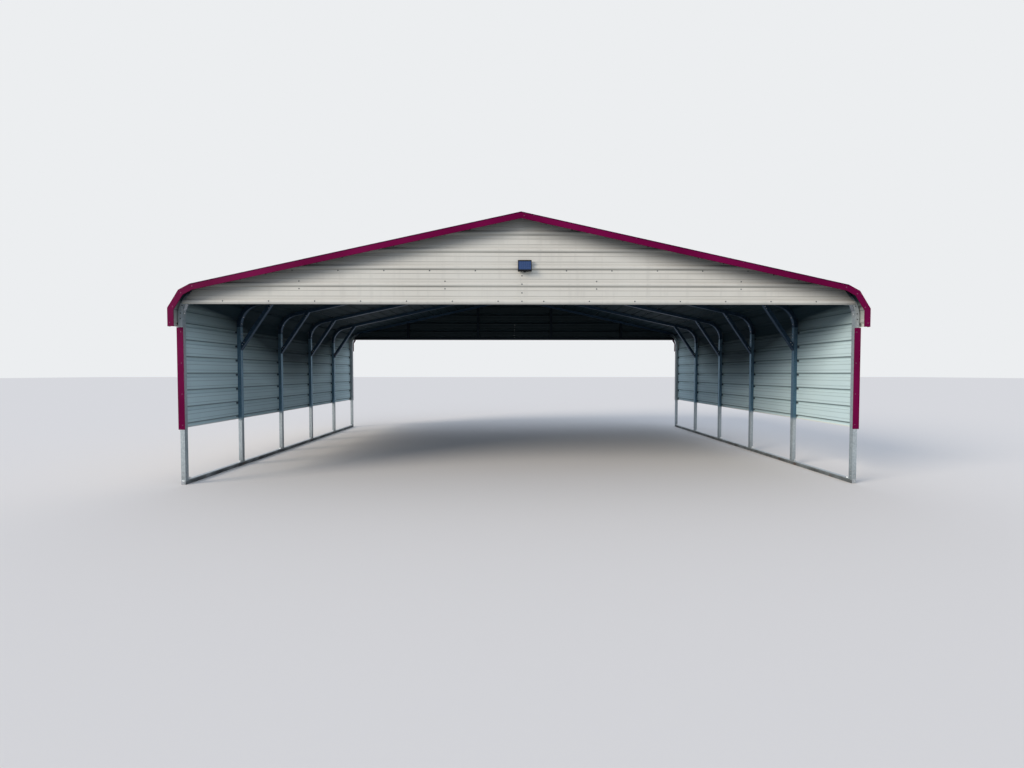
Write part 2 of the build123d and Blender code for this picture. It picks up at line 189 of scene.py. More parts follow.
# %% Sky
world = bpy.data.worlds.new("studio_sky")
bpy.context.scene.world = world
add = empty_tree(world)
sky_light = add("ShaderNodeBackground", {"Color": linear("#d2e4ff"), "Strength": 0.84})
sky_look = add("ShaderNodeBackground", {"Color": linear("#eceef0"), "Strength": 1.0})
sky_mix = add("ShaderNodeMixShader", {0: seen_directly(add), 1: sky_light, 2: sky_look})
add("ShaderNodeOutputWorld", {"Surface": sky_mix})
print("sky", len(world.node_tree.nodes), "nodes")

# %% [markdown]
# In the photograph the right wall's inner side is lit and the left one's is in shade, so
# the key light comes from the left, from the front and above. A wide sun angle softens its
# shadows as a big studio lamp would.

# %% Key light
key = bpy.data.objects.new("key_light", bpy.data.lights.new("key_light", "SUN"))
bpy.context.scene.collection.objects.link(key)
key.data.energy = 2.2
key.data.angle = math.radians(26)
key.data.color = (1.0, 0.955, 0.88)
key_from = Vector((-0.85, -0.52, 0.42))
key.rotation_euler = key_from.to_track_quat("Z", "Y").to_euler()
print("key light from", [round(c, 2) for c in key_from.normalized()])

# %% [markdown]
# Ribbed sheet is roll-formed from steel that was zinc-coated and then painted as a coil:
# beige on the face and a thin pale backing coat inside. A finish could be two materials
# split by face, but a CAD mesh keeps one slot, so the side is told from the surface itself:
# a vector that points out of the building, dotted with the normal, is positive outside.

# %% Which side of a sheet is outside
def outside(add, place, normal, reach, shift=(0.0, 0.0, 0.0)):
    """1 where the surface faces out. The outward vector is the place times reach plus shift."""
    outward = add("ShaderNodeVectorMath", {
        0: place, 1: reach, 2: shift}, operation="MULTIPLY_ADD")
    facing = add("ShaderNodeVectorMath", {0: outward, 1: normal}, operation="DOT_PRODUCT")
    return add("ShaderNodeMath", {0: facing, 1: -0.0001}, operation="GREATER_THAN")


# %% [markdown]
# The dirt on a sheet follows its ribs, so the material first works out where a point lies.
# The place is taken as positive numbers, because both halves of the carport are alike. Its
# distance across the ribs is counted in rib spacings from the first rib: whole numbers are
# ribs, and the fraction is the place between two of them.

# %% Where a point lies on a sheet
def point_on_sheet(add, place, across_ribs, ribs):
    """What the dirt is told by. across_ribs gives the direction and the ribs in a metre, and
    ribs is where the first one stands and how many follow, in rib spacings."""
    positive = add("ShaderNodeVectorMath", {0: place}, operation="ABSOLUTE")
    down_sheet = add("ShaderNodeVectorMath", {
        0: positive, 1: across_ribs}, operation="DOT_PRODUCT")
    counted = add("ShaderNodeMath", {0: down_sheet, 1: ribs[0]}, operation="SUBTRACT")
    return SimpleNamespace(
        place=place, positive=positive, counted=counted,
        between_ribs=add("ShaderNodeMath", {0: counted}, operation="FRACT"),
        on_ribs=add("ShaderNodeMath", {
            0: counted, 1: ribs[1] / 2, 2: ribs[1] / 2}, operation="COMPARE"),
        cloud=add("ShaderNodeTexNoise", {"Vector": place, "Scale": 0.9, "Detail": 3.0}))


# %% [markdown]
# Dust lies on the upper shoulder of each rib. Along the foot of each rib and under each minor
# rib the shade is painted in as dark lines, and inside it is painted along the grooves, with
# some grime. The lines could be thin strips of mesh, but as paint they follow the sheet by
# themselves: a ramp of stops over the place between two ribs. A line of grime is 2 or 3 mm
# wide, too fine from here, so it is drawn about 10 mm wide. The three folds of the eave hold
# dirt too, and a point near one is told by its distance from the line of the fold.

# %% Lines of dust, grime and painted shade
# Outside: dust on the shoulder, and painted shade at the foot of each rib and under each minor
# rib.
dust_and_shade_stops = ((0.0, 0.0), (0.05, 0.0), (0.10, 0.35), (0.16, 0.25), (0.24, 0.0),
              (0.27, 0.0), (0.305, 0.75), (0.34, 0.0), (0.60, 0.0), (0.635, 0.75), (0.67, 0.0),
              (0.81, 0.0), (0.845, 1.0), (0.87, 1.0), (0.90, 0.2), (0.95, 0.0))
# Inside: painted shade along each groove and minor rib, with some grime.
grime_and_shade_stops = ((0.0, 0.1), (0.06, 0.15), (0.105, 0.75), (0.15, 0.5), (0.165, 0.0), (0.28, 0.0),
               (0.315, 0.35), (0.345, 0.0), (0.62, 0.0), (0.65, 0.35), (0.68, 0.0), (0.84, 0.0),
               (0.865, 0.35), (0.90, 0.05))
eave_folds = ((4.307, 0.0, 2.649), (4.453, 0.0, 2.572), (4.5925, 0.0, 2.348))


def rib_lines(add, point, stops):
    """Lines along the ribs. A stop is a place between two ribs and how dirty it is there."""
    ramp = add("ShaderNodeValToRGB", {"Fac": point.between_ribs})
    ramp.color_ramp.elements.remove(ramp.color_ramp.elements[1])
    for position, level in stops:
        ramp.color_ramp.elements.new(position).color = (level, level, level, 1.0)
    return ramp


def fold_lines(add, point):
    """Dirt in the folds of the eave."""
    section = add("ShaderNodeVectorMath", {
        0: point.positive, 1: (1.0, 0.0, 1.0)}, operation="MULTIPLY")
    lines = []
    for fold in eave_folds:
        away = add("ShaderNodeVectorMath", {0: section, 1: fold}, operation="DISTANCE")
        lines.append(add("ShaderNodeMapRange", {
            "Value": away, "From Min": 0.010, "From Max": 0.004, "To Max": 0.5}))
    crease = lines[0]
    for line in lines[1:]:
        crease = add("ShaderNodeMath", {0: crease, 1: line}, operation="MAXIMUM")
    return crease


print("stops a rib:", len(dust_and_shade_stops), "of dust,", len(grime_and_shade_stops), "of grime")

# %% [markdown]
# Outside, the beige has aged in large soft clouds. Rain leaves faint streaks that run down
# across the ribs: noise that is squeezed across and stretched down. On a gable, the shade
# under the trim is painted in as a darker band. It is told by how far a point lies below the
# line of the roof.

# %% The beige face
def weathered_face(add, point, folds, streaks, lee_shade):
    """Aged beige with its dirt and painted shade. streaks squeezes the noise, and lee_shade is
    how dark the painted shade under the trim is at most."""
    streak_place = add("ShaderNodeMapping", {"Vector": point.place, "Scale": streaks})
    streak = add("ShaderNodeTexNoise", {
        "Vector": streak_place, "Scale": 1.0, "Detail": 5.0, "Roughness": 0.6})
    streak_depth = add("ShaderNodeMapRange", {
        "Value": streak, "From Min": 0.5, "From Max": 0.85, "To Min": 0.0, "To Max": 0.22})
    patchy = add("ShaderNodeMapRange", {
        "Value": point.cloud, "From Min": 0.35, "From Max": 0.75, "To Min": 0.45, "To Max": 0.9})
    lasting = add("ShaderNodeMath", {0: patchy, 1: point.on_ribs}, operation="MULTIPLY")
    # Dust on the shoulders, and painted shade under each rib and minor rib.
    dust = add("ShaderNodeMath", {
        0: rib_lines(add, point, dust_and_shade_stops), 1: lasting}, operation="MULTIPLY")
    streaked = add("ShaderNodeMath", {0: folds, 1: streak_depth}, operation="MAXIMUM")
    dirt_and_shade = add("ShaderNodeMath", {0: dust, 1: streaked}, operation="MAXIMUM")

    aged = add("ShaderNodeMix", {
        0: point.cloud, 6: linear("#e1d9cb"), 7: linear("#d9cfbf")}, data_type="RGBA")
    # Painted shade under the trim: a darker band close below the line of the roof.
    roof_height = add("ShaderNodeVectorMath", {
        0: point.positive, 1: (math.tan(slope), 0.0, 1.0)}, operation="DOT_PRODUCT")
    in_trim_shade = add("ShaderNodeMapRange", {
        "Value": roof_height, "From Min": ridge - 0.32, "From Max": ridge - 0.07,
        "To Max": lee_shade}, interpolation_type="SMOOTHSTEP")
    weathered = add("ShaderNodeMix", {0: in_trim_shade, 6: aged, 7: linear("#6d6a66")}, data_type="RGBA")
    return add("ShaderNodeMix", {0: dirt_and_shade, 6: weathered, 7: linear("#827c72")}, data_type="RGBA")


# %% [markdown]
# Inside, the coat is pale; its blue-green cast is the tint of sky light in shade, painted in.
# Its open ends are painted pale as the light that falls on them, with some bleaching, and its
# lower lip is paler too. The shade under the roof is painted over it as a dark teal film that
# creeps down the walls towards the middle of the carport. It is told by a sum that grows
# inwards and upwards and is less near an open end, and it starts and is full at two values of
# that sum. Over it lie painted shade and grime along the ribs, and painted shade in each rib's
# hollow where it passes a leg.

# %% The backing coat
open_end_at = 3.05
open_end_takes = 0.39
shade_starts = -4.01
shade_is_full = -3.67


def backing_coat(add, point, folds, shade_depth):
    """The pale coat inside a sheet with painted shade over it, which is shade_depth strong at
    most.
    """
    apart = add("ShaderNodeSeparateXYZ", {0: point.positive})
    # The open ends are painted pale as the light that falls there, with some bleaching; the lower
    # lip is paler too.
    open_end = add("ShaderNodeMapRange", {
        "Value": apart.outputs["Y"], "From Min": open_end_at - 0.03, "From Max": open_end_at})
    lower_lip = add("ShaderNodeMapRange", {
        "Value": apart.outputs["Z"], "From Min": wall_bottom + 0.017,
        "From Max": wall_bottom + 0.012})
    lit_and_bleached = add("ShaderNodeMath", {0: open_end, 1: lower_lip}, operation="MAXIMUM")
    # The blue-green cast is the tint of sky light in shade, painted into the coat.
    coat = add("ShaderNodeMix", {
        0: point.cloud, 6: linear("#ddeeec"), 7: linear("#cfe2e0")}, data_type="RGBA")
    with_painted_light = add("ShaderNodeMix", {0: lit_and_bleached, 6: coat, 7: linear("#e3e2d6")}, data_type="RGBA")

    # The shade under the roof is painted in as a dark teal film, deeper inwards and upwards.
    inward = add("ShaderNodeVectorMath", {
        0: point.positive, 1: (-1.0, 0.0, 0.5)}, operation="DOT_PRODUCT")
    near_end = add("ShaderNodeMapRange", {
        "Value": apart.outputs["Y"], "From Max": open_end_at, "To Max": open_end_takes},
        interpolation_type="SMOOTHSTEP")
    roof_shade = add("ShaderNodeMath", {0: inward, 1: near_end}, operation="SUBTRACT")
    painted_shade = add("ShaderNodeMapRange", {
        "Value": roof_shade, "From Min": shade_starts, "From Max": shade_is_full,
        "To Max": shade_depth})
    shaded_coat = add("ShaderNodeMix", {0: painted_shade, 6: with_painted_light, 7: linear("#0b232d")}, data_type="RGBA")

    # Painted shade with grime along the ribs, and dirt in the eave folds.
    shade_and_grime_lines = add("ShaderNodeMath", {
        0: rib_lines(add, point, grime_and_shade_stops), 1: point.on_ribs}, operation="MULTIPLY")
    shade_and_dirt = add("ShaderNodeMath", {0: shade_and_grime_lines, 1: folds}, operation="MAXIMUM")
    grimy_and_shaded = add("ShaderNodeMix", {0: shade_and_dirt, 6: shaded_coat, 7: linear("#2d3a3b")}, data_type="RGBA")

    # Painted shade in each rib's hollow where it passes a leg.
    bays = add("ShaderNodeMath", {0: apart.outputs["Y"], 1: bay}, operation="DIVIDE")
    to_frame = add("ShaderNodeMath", {0: bays, 1: 0.5}, operation="PINGPONG")
    at_frame = add("ShaderNodeMapRange", {
        "Value": to_frame, "From Min": 0.456, "From Max": 0.464, "To Max": 0.85})
    from_rib = add("ShaderNodeMath", {0: point.counted, 1: 0.5}, operation="PINGPONG")
    in_groove = add("ShaderNodeMapRange", {
        "Value": from_rib, "From Min": 0.085, "From Max": 0.055})
    hollow_shade = add("ShaderNodeMath", {0: at_frame, 1: in_groove}, operation="MULTIPLY")
    shade_at_leg = add("ShaderNodeMath", {0: hollow_shade, 1: point.on_ribs}, operation="MULTIPLY")
    return add("ShaderNodeMix", {0: shade_at_leg, 6: grimy_and_shaded, 7: linear("#162329")}, data_type="RGBA")


# %% [markdown]
# The finish joins the two sides. Coil paint has a satin gloss and the thin backing coat is
# duller. Thin steel is never quite flat, so the pans ripple softly (oil-canning), and the
# paint itself has a fine grain.

# %% Sheet paint
def sheet_paint(name, reach, streaks, ripples, across_ribs, ribs, shade_depth,
                shift=(0.0, 0.0, 0.0), lee_shade=0.0):
    """Coil-coated steel, beige outside and paler inside. reach and shift tell the sides."""
    material, add = new_material(name)
    coordinates = add("ShaderNodeTexCoord")
    place = coordinates.outputs["Object"]
    out = outside(add, place, coordinates.outputs["Normal"], reach, shift)
    point = point_on_sheet(add, place, across_ribs, ribs)
    folds = fold_lines(add, point)
    colour = add("ShaderNodeMix", {
        0: out, 6: backing_coat(add, point, folds, shade_depth),
        7: weathered_face(add, point, folds, streaks, lee_shade)}, data_type="RGBA")
    roughness = add("ShaderNodeMapRange", {"Value": out, "To Min": 0.7, "To Max": 0.45})

    ripple_place = add("ShaderNodeMapping", {"Vector": place, "Scale": ripples})
    ripple = add("ShaderNodeTexNoise", {"Vector": ripple_place, "Scale": 1.0, "Detail": 1.0})
    ripple_bump = add("ShaderNodeBump", {"Height": ripple, "Strength": 0.35, "Distance": 0.012})
    grain = add("ShaderNodeTexNoise", {"Vector": place, "Scale": 140.0, "Detail": 2.0})
    grain_bump = add("ShaderNodeBump", {
        "Height": grain, "Normal": ripple_bump, "Strength": 0.08, "Distance": 0.001})
    paint = add("ShaderNodeBsdfPrincipled", {
        "Base Color": colour, "Roughness": roughness, "Normal": grain_bump, "IOR": 1.5,
        "Specular IOR Level": 0.1})
    add("ShaderNodeOutputMaterial", {"Surface": paint})
    print(name, len(material.node_tree.nodes), "nodes")
    return material


# %% [markdown]
# The walls and gables have level ribs, counted up from the one beside their lower edge. The
# roof's ribs run from front to back and are counted down each slope from the ridge.

# %% The three kinds of sheet
ribs_a_metre = 1 / rib_pitch
rib_above_wall_edge = 0.032
rib_above_gable_edge = 0.037
wall_rib = wall_bottom + rib_above_wall_edge
gable_rib = gable_bottom + rib_above_gable_edge
wall_paint = sheet_paint(
    "wall_sheet_paint", reach=(1.0, 0.0, 0.0), streaks=(1.0, 9.0, 0.7), ripples=(1.0, 1.6, 3.0),
    across_ribs=(0.0, 0.0, ribs_a_metre), ribs=(wall_rib * ribs_a_metre, 12.0), shade_depth=0.90)
gable_paint = sheet_paint(
    "gable_sheet_paint", reach=(0.0, 1.0, 0.0), streaks=(9.0, 1.0, 0.7), ripples=(1.6, 1.0, 3.0),
    across_ribs=(0.0, 0.0, ribs_a_metre), ribs=(gable_rib * ribs_a_metre, 12.0), shade_depth=0.95,
    lee_shade=0.78)
roof_paint = sheet_paint(
    "roof_sheet_paint", reach=(0.1, 0.0, 1.0), shift=(0.0, 0.0, -2.1), streaks=(0.7, 9.0, 0.7),
    ripples=(3.0, 1.6, 3.0), across_ribs=(ribs_a_metre / math.cos(slope), 0.0, 0.0),
    ribs=(0.015, 19.2), shade_depth=0.98)

# %% [markdown]
# The trim is the same coil-coated steel in burgundy, bent to an angle on a folding bench.
# Dark reds chalk in the sun, so the colour drifts between fresh and faded in large soft
# patches, with dust on it. Along the roof the upper fold of the face is hemmed, and the shade
# under the hem is painted in as a dark line, told from how far a point lies below the fold.

# %% Burgundy trim paint
def burgundy_paint():
    material, add = new_material("burgundy_trim_paint")
    coordinates = add("ShaderNodeTexCoord")
    place = coordinates.outputs["Object"]
    cloud = add("ShaderNodeTexNoise", {"Vector": place, "Scale": 1.3, "Detail": 4.0})
    fade = add("ShaderNodeMapRange", {"Value": cloud, "From Min": 0.35, "From Max": 0.7})
    grit = add("ShaderNodeTexNoise", {"Vector": place, "Scale": 45.0, "Detail": 5.0})
    dust = add("ShaderNodeMapRange", {
        "Value": grit, "From Min": 0.55, "From Max": 0.8, "To Max": 0.05})
    faded = add("ShaderNodeMix", {
        0: fade, 6: linear("#640033"), 7: linear("#770740")}, data_type="RGBA")
    dusty = add("ShaderNodeMix", {0: dust, 6: faded, 7: linear("#96506b")}, data_type="RGBA")

    positive = add("ShaderNodeVectorMath", {0: place}, operation="ABSOLUTE")
    height = add("ShaderNodeVectorMath", {
        0: positive, 1: (math.tan(slope), 0.0, 1.0)}, operation="DOT_PRODUCT")
    below_fold = add("ShaderNodeMath", {
        0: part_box("rake_trim_front_left")[1].z, 1: height}, operation="SUBTRACT")
    # Painted shade: a dark line just below the hemmed fold, on upright faces.
    hem = add("ShaderNodeMapRange", {
        "Value": below_fold, "From Min": 0.008, "From Max": 0.020, "To Min": 0.7, "To Max": 0.0})
    facing = add("ShaderNodeSeparateXYZ", {0: coordinates.outputs["Normal"]})
    upright = add("ShaderNodeMath", {
        0: facing.outputs["Y"], 1: facing.outputs["Y"]}, operation="MULTIPLY")
    hem_shade = add("ShaderNodeMath", {0: hem, 1: upright}, operation="MULTIPLY")
    colour = add("ShaderNodeMix", {0: hem_shade, 6: dusty, 7: linear("#1d0a22")}, data_type="RGBA")

    roughness = add("ShaderNodeMapRange", {"Value": fade, "To Min": 0.38, "To Max": 0.55})
    wave = add("ShaderNodeTexNoise", {"Vector": place, "Scale": 3.0, "Detail": 1.0})
    bump = add("ShaderNodeBump", {"Height": wave, "Strength": 0.3, "Distance": 0.006})
    paint = add("ShaderNodeBsdfPrincipled", {
        "Base Color": colour, "Roughness": roughness, "Normal": bump, "IOR": 1.5,
        "Specular IOR Level": 0.04})
    add("ShaderNodeOutputMaterial", {"Surface": paint})
    return material


trim_paint = burgundy_paint()
print(trim_paint.name, len(trim_paint.node_tree.nodes), "nodes")

# %% [markdown]
# The frame is square tube rolled from galvanised strip. Zinc gives it a dull, bluish-grey
# metal with frozen crystals (spangle), and rolling draws fine lines along it. At the open ends
# and below the walls the zinc is pale and chalky, from weather and as painted light. Under the
# roof and above the gap beside the gable it is painted dark and bluish as shade, its inner
# sides a little darker, and its upward faces lighter as painted light. Mud dries on the last
# 50 mm, with some rust.

# %% Weather, painted light and shade, and mud on the tubes
def pale_from_weather_and_light(add, where, out, chalk):
    """How pale weather and painted light make the zinc, which is chalk at most."""
    open_end = add("ShaderNodeMapRange", {
        "Value": where.outputs["Y"], "From Min": 2.2, "From Max": 3.0})
    # Above the foot of the bend the end bows are painted dark, as the shade in the gap beside the
    # gable.
    below_eave = add("ShaderNodeMapRange", {
        "Value": where.outputs["Z"], "From Min": 2.60, "From Max": 2.45})
    at_end = add("ShaderNodeMath", {0: open_end, 1: below_eave}, operation="MULTIPLY")
    # Below the wall's lower edge the zinc is painted pale, as the light that comes in under the
    # wall.
    below_wall = add("ShaderNodeMapRange", {
        "Value": where.outputs["Z"], "From Min": wall_bottom + 0.03,
        "From Max": wall_bottom - 0.03})
    reached = add("ShaderNodeMath", {0: at_end, 1: below_wall}, operation="MAXIMUM")
    # Inner sides are painted a little darker, as shade.
    inner_side_shade = add("ShaderNodeMapRange", {"Value": out, "To Min": 0.75 * chalk, "To Max": chalk})
    return add("ShaderNodeMath", {0: reached, 1: inner_side_shade}, operation="MULTIPLY")


def near_ground(add, where):
    """How dirty the height above the ground makes a tube."""
    mud_edge = add("ShaderNodeMapRange", {
        "Value": where.outputs["Z"], "From Min": 0.054, "From Max": 0.040, "To Max": 0.85})
    grime = add("ShaderNodeMapRange", {
        "Value": where.outputs["Z"], "From Min": 0.35, "From Max": 0.06, "To Max": 0.3})
    return add("ShaderNodeMath", {0: mud_edge, 1: grime}, operation="MAXIMUM")


# %% [markdown]
# Real spangle is 5 to 10 mm, too fine from here, so its cells are drawn 20 mm wide. Bare
# zinc is metal, while chalk and mud are not, so both take the metal out of the shader. The
# roughness follows the crystals, and the fine lines are a noise stretched along the tube.

# %% Galvanised tube
def galvanised(name, drawn, dark, light, chalk):
    """Zinc-coated tube. drawn squeezes its fine lines across it, dark and light are its
    crystals in the painted shade under the roof, and chalk is how far weather and painted
    light turn it pale."""
    material, add = new_material(name)
    coordinates = add("ShaderNodeTexCoord")
    place = coordinates.outputs["Object"]
    facing = add("ShaderNodeSeparateXYZ", {0: coordinates.outputs["Normal"]})
    positive = add("ShaderNodeVectorMath", {0: place}, operation="ABSOLUTE")
    where = add("ShaderNodeSeparateXYZ", {0: positive})
    out = outside(add, place, coordinates.outputs["Normal"], (1.0, 0.0, 0.0))
    weather_and_light = pale_from_weather_and_light(add, where, out, chalk)

    spangle = add("ShaderNodeTexVoronoi", {"Vector": place, "Scale": 50.0})
    crystal = add("ShaderNodeRGBToBW", {0: spangle.outputs["Color"]})
    # Dark bluish zinc, painted as the shade under the roof.
    roof_shade = add("ShaderNodeMix", {
        0: crystal, 6: linear(dark), 7: linear(light)}, data_type="RGBA")
    exposed = add("ShaderNodeMix", {
        0: crystal, 6: linear("#aab1b1"), 7: linear("#c6cbc9")}, data_type="RGBA")
    zinc = add("ShaderNodeMix", {0: weather_and_light, 6: roof_shade, 7: exposed}, data_type="RGBA")
    line_place = add("ShaderNodeMapping", {"Vector": place, "Scale": drawn})
    lines = add("ShaderNodeTexNoise", {"Vector": line_place, "Scale": 1.0, "Detail": 4.0})
    shade = add("ShaderNodeMapRange", {
        "Value": lines, "From Min": 0.35, "From Max": 0.65, "To Min": 1.0, "To Max": 0.72})
    rolled = add("ShaderNodeMix", {
        0: 1.0, 6: zinc, 7: shade}, data_type="RGBA", blend_type="MULTIPLY")
    # Upward faces are painted lighter, as lit from above.
    upward = add("ShaderNodeMapRange", {
        "Value": facing.outputs["Z"], "From Min": 0.3, "From Max": 0.8})
    with_painted_light = add("ShaderNodeMix", {0: upward, 6: rolled, 7: linear("#b3b9bb")}, data_type="RGBA")

    low = near_ground(add, where)
    cloud = add("ShaderNodeTexNoise", {"Vector": place, "Scale": 4.0, "Detail": 6.0})
    drift = add("ShaderNodeMapRange", {
        "Value": cloud, "From Min": 0.3, "From Max": 0.6, "To Min": 0.5})
    drifted = add("ShaderNodeMath", {0: low, 1: drift}, operation="MULTIPLY")
    mud = add("ShaderNodeMath", {0: drifted, 1: upward}, operation="SUBTRACT", use_clamp=True)
    muddy = add("ShaderNodeMix", {0: mud, 6: with_painted_light, 7: linear("#3f3b37")}, data_type="RGBA")
    spots = add("ShaderNodeTexNoise", {"Vector": place, "Scale": 9.0, "Detail": 6.0})
    low_spots = add("ShaderNodeMath", {0: spots, 1: low}, operation="MULTIPLY")
    rust = add("ShaderNodeMapRange", {
        "Value": low_spots, "From Min": 0.50, "From Max": 0.58, "To Max": 0.7})
    colour = add("ShaderNodeMix", {0: rust, 6: muddy, 7: linear("#5f4130")}, data_type="RGBA")

    dull = add("ShaderNodeMath", {0: weather_and_light, 1: mud}, operation="MAXIMUM")
    metal = add("ShaderNodeMapRange", {"Value": dull, "To Min": 0.9, "To Max": 0.2})
    grain = add("ShaderNodeMapRange", {"Value": crystal, "To Min": 0.40, "To Max": 0.55})
    roughness = add("ShaderNodeMath", {0: grain, 1: mud}, operation="MAXIMUM")
    bump = add("ShaderNodeBump", {"Height": lines, "Strength": 0.15, "Distance": 0.001})
    steel = add("ShaderNodeBsdfPrincipled", {
        "Base Color": colour, "Metallic": metal, "Roughness": roughness, "Normal": bump})
    add("ShaderNodeOutputMaterial", {"Surface": steel})
    print(name, len(material.node_tree.nodes), "nodes")
    return material


# %% [markdown]
# One finish would do if the noise could turn with the tube. It can't, because it is stretched
# along one axis, so each direction in which a tube runs has its own finish. Legs and rails
# are pale from weather and painted light. Studs and headers are painted near-black zinc, as
# the shade behind the gable, and bows and braces dark navy, as the shade under the roof.

# %% The five finishes of tube
fine_lines = 260.0
long_lines = 2.0
lines_up = (fine_lines, fine_lines, long_lines)
lines_across = (long_lines, fine_lines, fine_lines)
lines_back = (fine_lines, long_lines, fine_lines)
# Near-black zinc, painted as the shade behind the gable.
shaded_zinc = ("#1c242c", "#28323b", 0.0)
upright_tube = galvanised("galvanised_upright_tube", lines_up, "#5f7e93", "#7592a5", 1.0)
cross_tube = galvanised("galvanised_cross_tube", lines_across, "#32475b", "#435a70", 1.0)
stud_tube = galvanised("galvanised_stud_tube", lines_up, *shaded_zinc)
header_tube = galvanised("galvanised_header_tube", lines_across, *shaded_zinc)
rail_tube = galvanised("galvanised_rail_tube", lines_back, "#728890", "#8a9fa6", 1.0)

# %% [markdown]
# Clips, screws and anchors are bright zinc-plated steel. Plating is thinner and shinier
# than hot-dip zinc, with a faint bluish cast, and it dulls in spots. The screws of the trim
# were painted like it and have worn. The seal under each screw head is black rubber.

# %% Plated steel and rubber
def plated_steel(name, bright, dulled):
    material, add = new_material(name)
    place = add("ShaderNodeTexCoord").outputs["Object"]
    spots = add("ShaderNodeTexNoise", {"Vector": place, "Scale": 90.0, "Detail": 3.0})
    worn = add("ShaderNodeMapRange", {"Value": spots, "From Min": 0.45, "From Max": 0.7})
    colour = add("ShaderNodeMix", {
        0: worn, 6: linear(bright), 7: linear(dulled)}, data_type="RGBA")
    roughness = add("ShaderNodeMapRange", {"Value": worn, "To Min": 0.24, "To Max": 0.5})
    steel = add("ShaderNodeBsdfPrincipled", {
        "Base Color": colour, "Metallic": 1.0, "Roughness": roughness})
    add("ShaderNodeOutputMaterial", {"Surface": steel})
    return material


def seal_rubber():
    material, add = new_material("seal_rubber")
    place = add("ShaderNodeTexCoord").outputs["Object"]
    dust = add("ShaderNodeTexNoise", {"Vector": place, "Scale": 300.0, "Detail": 2.0})
    colour = add("ShaderNodeMix", {
        0: dust, 6: linear("#1b1b1c"), 7: linear("#3b3a38")}, data_type="RGBA")
    black = add("ShaderNodeBsdfPrincipled", {"Base Color": colour, "Roughness": 0.8, "IOR": 1.52})
    add("ShaderNodeOutputMaterial", {"Surface": black})
    return material


screw_steel = plated_steel("weathered_sheet_screw", "#777b7d", "#4d5052")
bright_screw = plated_steel("zinc_plated_screw", "#dfe2e4", "#b7bbbd")
trim_screw = plated_steel("worn_trim_screw", "#a9597f", "#7c2f55")
clip_steel = plated_steel("zinc_plated_clip", "#c3c8cb", "#9aa0a3")
rubber = seal_rubber()
print("screw finishes:", screw_steel.name, bright_screw.name, trim_screw.name)

# %% [markdown]
# The small light is moulded in black ABS, with the faint sandy texture of its mould. The
# lens below it is smoked plastic, smooth and a little hazy.

# %% Plastics of the light
def black_plastic():
    material, add = new_material("black_abs")
    place = add("ShaderNodeTexCoord").outputs["Object"]
    sand = add("ShaderNodeTexNoise", {"Vector": place, "Scale": 700.0, "Detail": 2.0})
    dust = add("ShaderNodeTexNoise", {"Vector": place, "Scale": 30.0, "Detail": 4.0})
    colour = add("ShaderNodeMix", {
        0: dust, 6: linear("#06090e"), 7: linear("#14171c")}, data_type="RGBA")
    bump = add("ShaderNodeBump", {"Height": sand, "Strength": 0.3, "Distance": 0.0004})
    plastic = add("ShaderNodeBsdfPrincipled", {
        "Base Color": colour, "Roughness": 0.45, "IOR": 1.53, "Specular IOR Level": 0.15,
        "Normal": bump})
    add("ShaderNodeOutputMaterial", {"Surface": plastic})
    return material


def smoked_lens():
    material, add = new_material("smoked_lens")
    place = add("ShaderNodeTexCoord").outputs["Object"]
    haze = add("ShaderNodeTexNoise", {"Vector": place, "Scale": 80.0, "Detail": 3.0})
    colour = add("ShaderNodeMix", {
        0: haze, 6: linear("#0c0d0f"), 7: linear("#232529")}, data_type="RGBA")
    lens = add("ShaderNodeBsdfPrincipled", {
        "Base Color": colour, "Roughness": 0.2, "IOR": 1.49, "Specular IOR Level": 0.2})
    add("ShaderNodeOutputMaterial", {"Surface": lens})
    return material


light_plastic = black_plastic()
lens_plastic = smoked_lens()
print("plastics:", light_plastic.name, lens_plastic.name)

# %% [markdown]
# The light's face is a solar panel: dark blue cells about 25 mm wide under a clear sheet,
# parted by pale lines. The pattern is a grid that starts at the panel's corner and counts
# in cells. Where the fraction of a count is less than a line's width, there is a line.

# %% Solar cells
def solar_cells(cell, gap):
    """Cells and the lines between them, both given by their width in metres."""
    material, add = new_material("solar_cells")
    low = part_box("light_panel")[0]
    place = add("ShaderNodeTexCoord").outputs["Object"]
    counted = add("ShaderNodeMapping", {
        "Vector": place, "Location": (-low.x / cell, 0.0, -low.z / cell),
        "Scale": (1 / cell, 0.0, 1 / cell)})
    fraction = add("ShaderNodeVectorMath", {0: counted}, operation="FRACTION")
    apart = add("ShaderNodeSeparateXYZ", {0: fraction})
    lines = [add("ShaderNodeMath", {
        0: apart.outputs[axis], 1: gap / cell}, operation="LESS_THAN") for axis in "XZ"]
    grid = add("ShaderNodeMath", {0: lines[0], 1: lines[1]}, operation="MAXIMUM")
    shimmer = add("ShaderNodeTexNoise", {"Vector": place, "Scale": 60.0, "Detail": 3.0})
    blue = add("ShaderNodeMix", {
        0: shimmer, 6: linear("#1b3056"), 7: linear("#2e4a77")}, data_type="RGBA")
    colour = add("ShaderNodeMix", {0: grid, 6: blue, 7: linear("#4a5c7e")}, data_type="RGBA")
    glass = add("ShaderNodeBsdfPrincipled", {
        "Base Color": colour, "Roughness": 0.3, "IOR": 1.5, "Specular IOR Level": 0.25,
        "Coat Weight": 0.15, "Coat Roughness": 0.1})
    add("ShaderNodeOutputMaterial", {"Surface": glass})
    return material


panel_cells = solar_cells(0.0257, 0.0016)
print("solar panel", len(panel_cells.node_tree.nodes), "nodes")

# %% [markdown]
# Every CAD node keeps its mesh and gets its finish in its own material slot. The names of
# the nodes say what each one is, so the finish is chosen by the start of the name.

